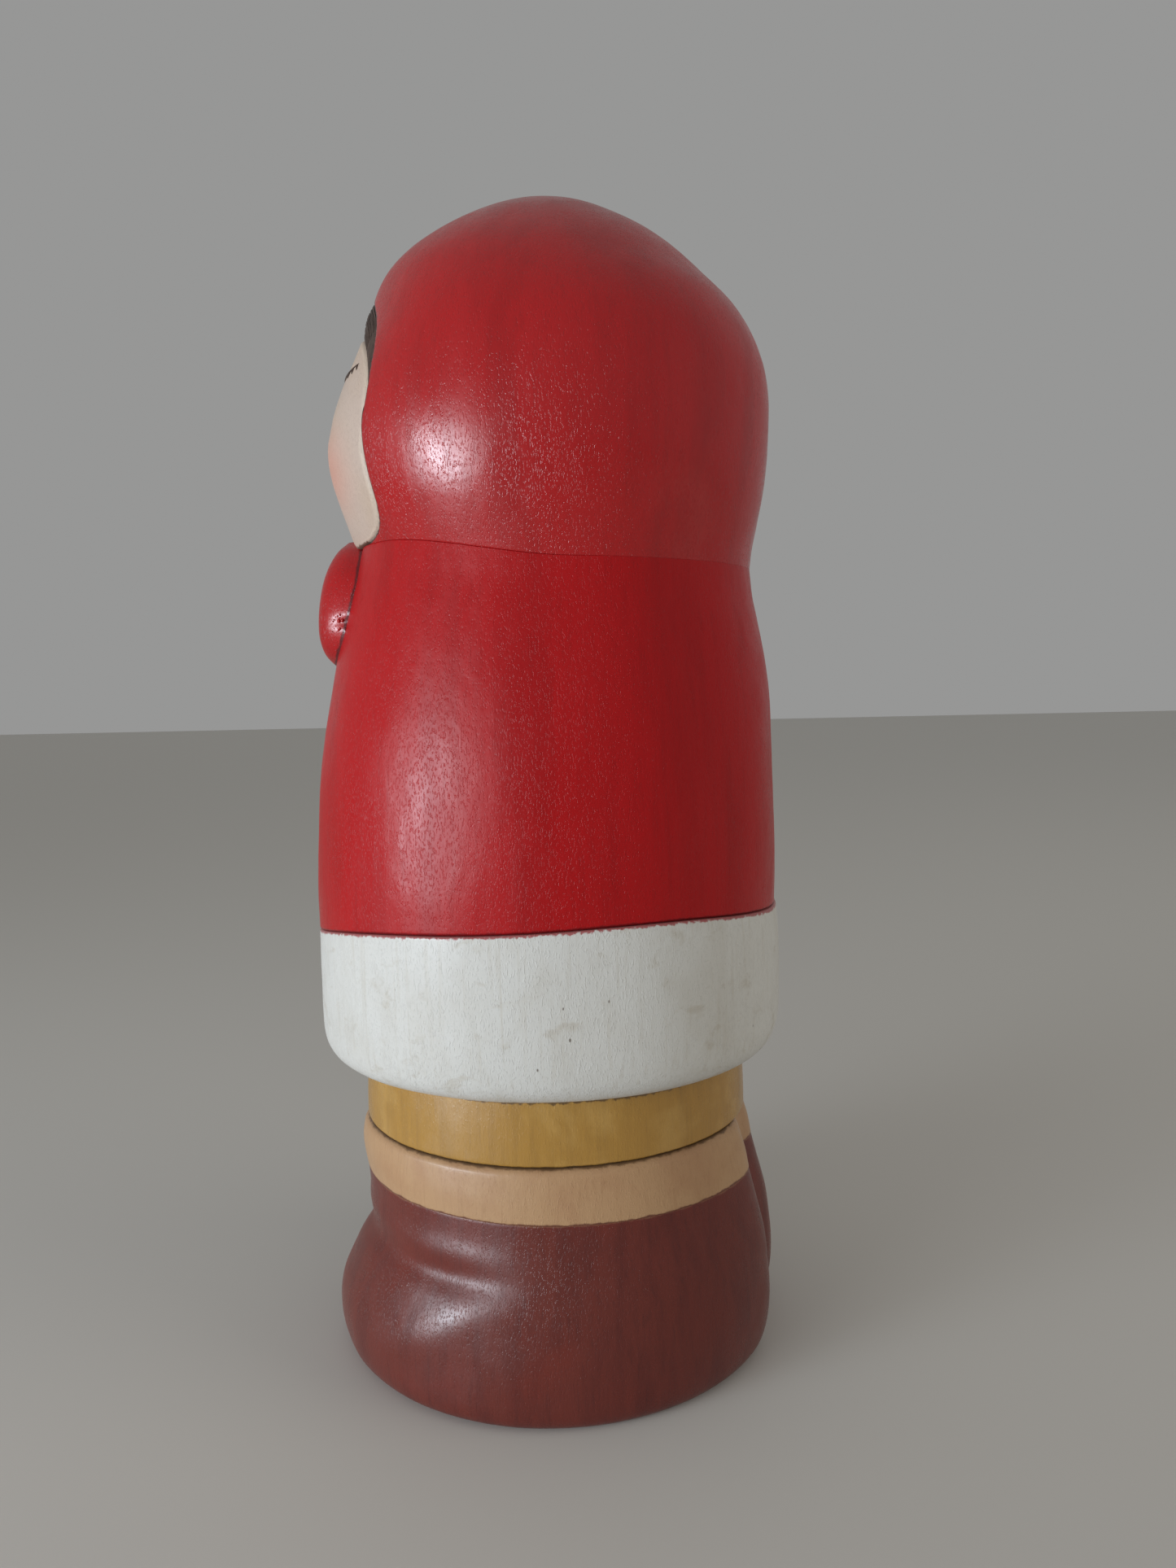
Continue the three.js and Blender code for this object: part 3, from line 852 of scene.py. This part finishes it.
def noise(tree, vector, detail, roughness=0.55, distortion=0.0):
    settings = {"Scale": 1.0, "Detail": detail, "Roughness": roughness, "Distortion": distortion}
    return put(tree, "ShaderNodeTexNoise", {"Vector": vector, **settings}, "Fac")


def streak_group():
    """Long thin streaks that run up the figure, from 0 to 1."""
    inputs = [("Coordinates", None), ("Width", 1.0), ("Length", 20.0), ("Low", 0.4), ("High", 0.6)]
    group, given, end = new_group("streaks", inputs, ["Mask"])
    place = stretched(group, given["Coordinates"], given["Width"], given["Length"])
    mask = ramp(group, noise(group, place, 5, 0.6, 0.15), given["Low"], given["High"])
    group.links.new(mask, end.inputs["Mask"])
    return group


PORE_HEIGHT = 1.7
PORE_EDGE = 1.7


def pinhole_group():
    """Small open pores: a few round dots, each a little up-and-down."""
    inputs = [("Coordinates", None), ("Spacing", 4.0), ("Size", 0.08), ("Share", 0.4)]
    group, given, end = new_group("pinholes", inputs, ["Mask"])
    tall = calc(group, "MULTIPLY", given["Spacing"], PORE_HEIGHT)
    place = stretched(group, given["Coordinates"], given["Spacing"], tall)
    cell = put(group, "ShaderNodeTexVoronoi", {"Vector": place, "Scale": 1.0}).node
    chance = put(group, "ShaderNodeSeparateColor", {0: cell.outputs["Color"]})
    wider = calc(group, "MULTIPLY", given["Size"], PORE_EDGE)
    dot = ramp(group, cell.outputs["Distance"], wider, given["Size"])
    picked = calc(group, "LESS_THAN", chance, given["Share"])
    group.links.new(calc(group, "MULTIPLY", dot, picked), end.inputs["Mask"])
    return group


def edge_group():
    """A ragged band beside an edge, from a distance in millimetres: 1 at the edge and 0 past it."""
    inputs = [("Coordinates", None), ("Distance", 1.0), ("Width", 1.0), ("Raggedness", 0.6), ("Tooth", 1.5)]
    group, given, end = new_group("ragged_edge", inputs, ["Mask"])
    place = stretched(group, given["Coordinates"], given["Tooth"], given["Tooth"])
    rough = calc(group, "SUBTRACT", noise(group, place, 3, 0.6), 0.5)
    swing = calc(group, "MULTIPLY", rough, calc(group, "MULTIPLY", given["Raggedness"], 4.0))
    limit = calc(group, "MULTIPLY", given["Width"], calc(group, "ADD", swing, 1.0))
    past = calc(group, "SUBTRACT", given["Distance"], limit)
    group.links.new(ramp(group, past, 0.25, -0.15), end.inputs["Mask"])
    return group


def surface_group():
    """The height of a brushed, varnished wooden surface: bristle lines, raised grain and orange peel."""
    inputs = [("Coordinates", None), ("Bristles", 1.0), ("Flecks", 1.0), ("Peel", 1.0)]
    group, given, end = new_group("brushed_surface", inputs, ["Height"])

    def texture(width, length, detail):
        return noise(group, stretched(group, given["Coordinates"], width, length), detail)

    bristles = calc(group, "MULTIPLY", texture(0.35, 14, 3), given["Bristles"])
    flecks = calc(group, "MULTIPLY", ramp(group, texture(0.34, 0.9, 2), 0.53, 0.68), given["Flecks"])
    peel = calc(group, "MULTIPLY", texture(1.1, 1.4, 2), given["Peel"])
    total = calc(group, "ADD", calc(group, "ADD", bristles, flecks), peel)
    group.links.new(total, end.inputs["Height"])
    return group


GROUPS = {"streaks": streak_group(), "pinholes": pinhole_group(), "ragged": edge_group(),
          "surface": surface_group()}


class Paint:
    """A material being mixed: layers of colour, then gloss, then the feel of its surface."""

    def __init__(self, name, base):
        self.material = bpy.data.materials.new(name)
        self.material.use_nodes = True
        self.tree = self.material.node_tree
        self.shader = self.tree.nodes["Principled BSDF"]
        self.place = put(self.tree, "ShaderNodeTexCoord", output="Object")
        self.colour = put(self.tree, "ShaderNodeRGB")
        self.colour.default_value = paint_colour(*base)

    def use(self, group, **values):
        """The mask or height that a shared group makes from the given inputs."""
        node = self.tree.nodes.new("ShaderNodeGroup")
        node.node_tree = GROUPS[group]
        self.tree.links.new(self.place, node.inputs["Coordinates"])
        for key, value in values.items():
            socket = node.inputs[key.replace("_", " ").capitalize()]
            if isinstance(value, bpy.types.NodeSocket):
                self.tree.links.new(value, socket)
            else:
                socket.default_value = value
        return node.outputs[0]

    def patches(self, size, low, high, tall=None):
        """Soft uneven patches, as a mask."""
        vector = stretched(self.tree, self.place, size, tall or size)
        return ramp(self.tree, noise(self.tree, vector, 4, 0.6, 0.3), low, high)

    def spot(self, side, height, radius):
        """1 at a place and 0 a radius from it, in design millimetres, mirrored to both sides."""
        apart = put(self.tree, "ShaderNodeVectorMath", {0: self.place}, operation="ABSOLUTE")
        parts = put(self.tree, "ShaderNodeSeparateXYZ", {0: apart}).node.outputs
        flat = put(self.tree, "ShaderNodeCombineXYZ", {"X": parts["X"], "Z": parts["Z"]})
        target = (side * UNIT, 0, height * UNIT)
        away = put(self.tree, "ShaderNodeVectorMath", {0: flat, 1: target}, "Value", operation="DISTANCE")
        return ramp(self.tree, away, radius * UNIT, 0.0)

    def layer(self, mask, colour, strength):
        """Lays a colour over the layers so far, where a mask says."""
        amount = calc(self.tree, "MULTIPLY", mask, strength)
        inputs = {0: amount, 6: self.colour, 7: paint_colour(*colour)}
        self.colour = put(self.tree, "ShaderNodeMix", inputs, 2, data_type="RGBA")

    def streaks(self, width, length, low, high, colour, strength):
        """A layer of long thin streaks."""
        mask = self.use("streaks", width=width, length=length, low=low, high=high)
        self.layer(mask, colour, strength)

    def line(self, attribute, width, raggedness, colour, strength, tooth=1.5):
        """A ragged line beside an edge, which a piece is marked with the distance from."""
        distance = put(self.tree, "ShaderNodeAttribute", output="Fac", attribute_name=attribute)
        mask = self.use("ragged", distance=distance, width=width, raggedness=raggedness, tooth=tooth)
        self.layer(mask, colour, strength)

    def done(self, gloss, roughness, varnish=0.0, varnish_roughness=0.2, bump=0.0001, shine=0.25,
             **surface):
        """Roughness swings a little with the gloss mask. Bump is the surface's depth in metres."""
        sockets = self.shader.inputs
        self.tree.links.new(self.colour, sockets["Base Color"])
        swing = {"Value": gloss, "To Min": roughness[0], "To Max": roughness[1]}
        self.tree.links.new(put(self.tree, "ShaderNodeMapRange", swing), sockets["Roughness"])
        sockets["Specular IOR Level"].default_value = shine
        sockets["Coat Weight"].default_value = varnish
        sockets["Coat Roughness"].default_value = varnish_roughness
        height = self.use("surface", **surface)
        feel = put(self.tree, "ShaderNodeBump", {"Height": height, "Distance": bump, "Strength": 1.0})
        self.tree.links.new(feel, sockets["Normal"])
        return self.material


def red_for(name, edges, sheen, shine):
    """The red paint, darkened in a ragged line along the edges that a piece is marked with: painted shade
    in its seams and round the face's opening.
    """
    red = Paint(name, (164, 10, 15))
    red.streaks(9, 90, 0.44, 0.66, (144, 8, 12), 0.5)
    red.streaks(1.2, 34, 0.5, 0.74, (140, 8, 12), 0.35)
    red.streaks(0.5, 12, 0.54, 0.8, (178, 26, 28), 0.15)
    red.layer(red.patches(30, 0.5, 0.75, 44), (172, 16, 20), 0.3)
    for attribute, width, colour, strength in edges:
        red.line(attribute, width, 0.45, colour, strength)
    gloss = red.patches(9, 0.35, 0.65, 16)
    feel = {"bristles": 0.2, "flecks": -1.0, "peel": 0.9}
    return red.done(gloss, (sheen, sheen + 0.1), 0.12, 0.5, 0.00004, shine, **feel)


def mix_white():
    white = Paint("off_white_paint", (202, 201, 195))
    white.layer(white.patches(16, 0.45, 0.75, 24), (188, 184, 174), 0.6)
    white.streaks(1.0, 26, 0.5, 0.75, (178, 170, 154), 0.35)
    white.layer(white.patches(7, 0.58, 0.72, 5), (170, 160, 142), 0.4)
    white.layer(white.use("pinholes", spacing=3.2, size=0.055, share=0.3), (92, 78, 66), 0.8)
    white.line("above_skirt", 0.7, 0.7, (120, 96, 66), 0.7)
    white.line("below_hem", 0.35, 1.3, (150, 40, 44), 0.85, tooth=1.1)
    gloss = white.patches(10, 0.35, 0.65)
    return white.done(gloss, (0.4, 0.55), 0.25, 0.25, 0.0001, bristles=0.2, flecks=0.5, peel=0.6)


def mix_mustard():
    mustard = Paint("mustard_paint", (164, 122, 50))
    mustard.streaks(2.4, 50, 0.42, 0.66, (146, 108, 46), 0.4)
    mustard.streaks(0.5, 20, 0.5, 0.7, (128, 94, 42), 0.25)
    mustard.layer(mustard.patches(12, 0.5, 0.7), (190, 152, 84), 0.4)
    mustard.line("above_cuff", 0.3, 0.8, (58, 40, 22), 0.9, tooth=2.4)
    # The dark line along the top of the mustard is painted shade under the white band's overhang.
    mustard.line("below_trim", 0.8, 0.6, (70, 48, 26), 0.8)
    gloss = mustard.patches(6, 0.35, 0.65, 12)
    return mustard.done(gloss, (0.22, 0.34), 0.3, 0.4, 0.00006, 0.6, bristles=0.5, flecks=0.3, peel=0.5)


def mix_tan():
    tan = Paint("tan_paint", (175, 139, 102))
    tan.layer(tan.patches(14, 0.45, 0.7), (162, 122, 88), 0.6)
    tan.streaks(0.7, 16, 0.5, 0.72, (150, 112, 78), 0.35)
    tan.line("below_skirt", 0.25, 0.9, (82, 58, 34), 0.8, tooth=2.2)
    tan.line("above_boot", 0.22, 1.3, (92, 44, 34), 0.9, tooth=3.2)
    gloss = tan.patches(8, 0.35, 0.65)
    return tan.done(gloss, (0.42, 0.56), 0.4, 0.3, 0.0001, bristles=0.2, flecks=0.3, peel=0.5)


def mix_boot():
    boot = Paint("boot_brown_paint", (100, 40, 31))
    boot.streaks(4, 26, 0.42, 0.66, (78, 29, 25), 0.45)
    boot.streaks(0.7, 14, 0.5, 0.74, (62, 25, 24), 0.3)
    boot.layer(boot.patches(20, 0.5, 0.72), (108, 40, 30), 0.5)
    boot.line("below_cuff", 0.15, 1.5, (150, 110, 80), 0.4, tooth=3.2)
    gloss = boot.patches(8, 0.35, 0.65)
    return boot.done(gloss, (0.26, 0.36), 0.15, 0.5, 0.00005, 0.38, bristles=0.3, flecks=-0.6, peel=0.7)


def mix_face():
    skin = Paint("face_paint", (184, 165, 151))
    skin.layer(skin.patches(18, 0.4, 0.7), (180, 158, 136), 0.5)
    skin.layer(skin.spot(**BLUSH), (196, 132, 113), 0.6)
    skin.layer(skin.use("pinholes", spacing=3.0, size=0.06, share=0.25), (150, 128, 108), 0.6)
    skin.layer(skin.patches(5, 0.66, 0.8, 9), (150, 134, 120), 0.35)
    # The light line along the face's rim is a painted highlight on its turned-in edge.
    skin.line("from_rim", 0.25, 0.4, (210, 194, 174), 0.4)
    skin.line("above_chin", 0.4, 0.9, (84, 66, 50), 0.85)
    gloss = skin.patches(8, 0.35, 0.65)
    return skin.done(gloss, (0.5, 0.62), 0.1, 0.35, 0.0001, bristles=0.5, flecks=0.5, peel=0.5)


def mix_plain(name, base, deep, roughness, bump):
    """A dark paint or bare wood with fine grain. One dark brown made here is painted shade in the pocket
    round the face.
    """
    mix = Paint(name, base)
    mix.streaks(0.7, 9, 0.42, 0.68, deep, 0.7)
    gloss = mix.patches(5, 0.35, 0.65)
    return mix.done(gloss, roughness, bump=bump, bristles=1.0, flecks=0.8, peel=0.3)


# ---- floor, lights and camera

FLOOR_REACH = 3.0


def make_floor():
    """The pale shelf that the figure stands on."""
    corners = [(x * FLOOR_REACH, y * FLOOR_REACH, 0) for x, y in ((-1, -1), (1, -1), (1, 1), (-1, 1))]
    mesh = bpy.data.meshes.new("floor")
    mesh.from_pydata(corners, [], [(0, 1, 2, 3)])
    floor = bpy.data.objects.new("floor", mesh)
    bpy.context.scene.collection.objects.link(floor)
    pale = bpy.data.materials.new("pale_floor")
    pale.use_nodes = True
    shader = pale.node_tree.nodes["Principled BSDF"]
    shader.inputs["Base Color"].default_value = paint_colour(208, 205, 198)
    shader.inputs["Roughness"].default_value = 0.6
    mesh.materials.append(pale)


def soft_light(name, azimuth, elevation, distance, size, power, colour, spread=120, mirrored=True):
    """A soft light that faces the middle of the figure. Unless mirrored, it leaves no highlight."""
    a, e = math.radians(azimuth), math.radians(elevation)
    middle = Vector((0, 0, HEIGHT / 2 * UNIT))
    towards = Vector((math.sin(a) * math.cos(e), -math.cos(a) * math.cos(e), math.sin(e)))
    lamp = bpy.data.lights.new(name, "AREA")
    lamp.shape, lamp.size, lamp.size_y = "ELLIPSE", *size
    lamp.energy, lamp.color, lamp.spread = power, colour, math.radians(spread)
    light = bpy.data.objects.new(name, lamp)
    light.visible_glossy = mirrored
    light.location = middle + towards * distance
    light.rotation_euler = (-towards).to_track_quat("-Z", "Y").to_euler()
    bpy.context.scene.collection.objects.link(light)


def make_lights():
    """A broad window with a brighter pane in front of it, light thrown back by a wall, and the room."""
    soft_light("window", 47, 1, 0.8, (0.62, 0.26), 1.75, (0.9, 0.94, 1))
    soft_light("pane", 43, 0, 0.79, (0.26, 0.16), 0.85, (0.78, 0.88, 1))
    soft_light("bounce", 172, 12, 1.2, (0.9, 0.9), 3.5, (1, 0.95, 0.88), spread=180, mirrored=False)
    world = bpy.data.worlds.new("pale_room")
    bpy.context.scene.world = world
    world.use_nodes = True
    background = world.node_tree.nodes["Background"]
    background.inputs["Color"].default_value = paint_colour(206, 206, 205)
    background.inputs["Strength"].default_value = 0.5
    bpy.context.scene.view_settings.view_transform = "Standard"


# Angles are in degrees, lengths in metres and the lens in millimetres. Turn is away from the figure.
CAMERA = {"azimuth": 102.0, "distance": 0.259, "height": 0.1498, "pitch": 5.67, "roll": -1.63,
          "turn": -2.228, "lens": 26.2107, "sensor": 36}


def make_camera():
    """Close beside the figure, a little behind its left side, looking slightly down."""
    a, down, roll, turn = [math.radians(CAMERA[key]) for key in ("azimuth", "pitch", "roll", "turn")]
    away = CAMERA["distance"]
    place = Vector((math.sin(a) * away, -math.cos(a) * away, CAMERA["height"]))
    camera = bpy.data.objects.new("camera", bpy.data.cameras.new("camera"))
    bpy.context.scene.collection.objects.link(camera)
    camera.data.sensor_width, camera.data.lens = CAMERA["sensor"], CAMERA["lens"]
    camera.data.clip_start = 0.01
    heading = math.atan2(-place.y, -place.x) + turn
    aim = Vector((math.cos(heading) * math.cos(down), math.sin(heading) * math.cos(down), -math.sin(down)))
    camera.rotation_mode = "QUATERNION"
    tilt = Matrix.Rotation(roll, 3, "Z").to_quaternion()
    camera.rotation_quaternion = aim.to_track_quat("-Z", "Y") @ tilt
    camera.location = place
    bpy.context.scene.camera = camera


# ---- putting it together

make_camera()
make_floor()
make_lights()

# This dark brown lines the pocket round the face: painted shade.
opening_shade = mix_plain("groove_brown", (58, 30, 24), (36, 20, 18), (0.6, 0.75), 0.00008)
hair_paint = mix_plain("hair_paint", (78, 62, 54), (54, 42, 36), (0.45, 0.6), 0.00008)
bare_wood = mix_plain("bare_wood", (206, 178, 136), (172, 138, 96), (0.65, 0.8), 0.0001)
# The near-black line round the hood's opening is painted shade in the gap round the face.
hood_red = red_for("hood_red_paint", [("past_opening", 0.25, (38, 22, 20), 0.95)], 0.2, 0.5)
# The coat's darker red line along the hem is painted shade in the groove over the white band.
coat_red = red_for("coat_red_paint", [("above_hem", 0.5, (98, 14, 18), 0.8)], 0.27, 0.22)
# The mittens' darker red line where they meet the coat is painted shade.
mitten_red = red_for("mitten_red_paint", [("off_coat", 0.5, (84, 14, 18), 0.9)], 0.22, 0.4)

strokes = stroke_tree()
make_hood(hood_red, opening_shade)
make_face(mix_face(), hair_paint, strokes)
make_hair(hair_paint, strokes)
make_coat(coat_red)
make_mittens(mitten_red)
make_trim(mix_white())
make_skirt(mix_mustard())
make_legs(mix_boot(), mix_tan())
make_dowels(bare_wood)
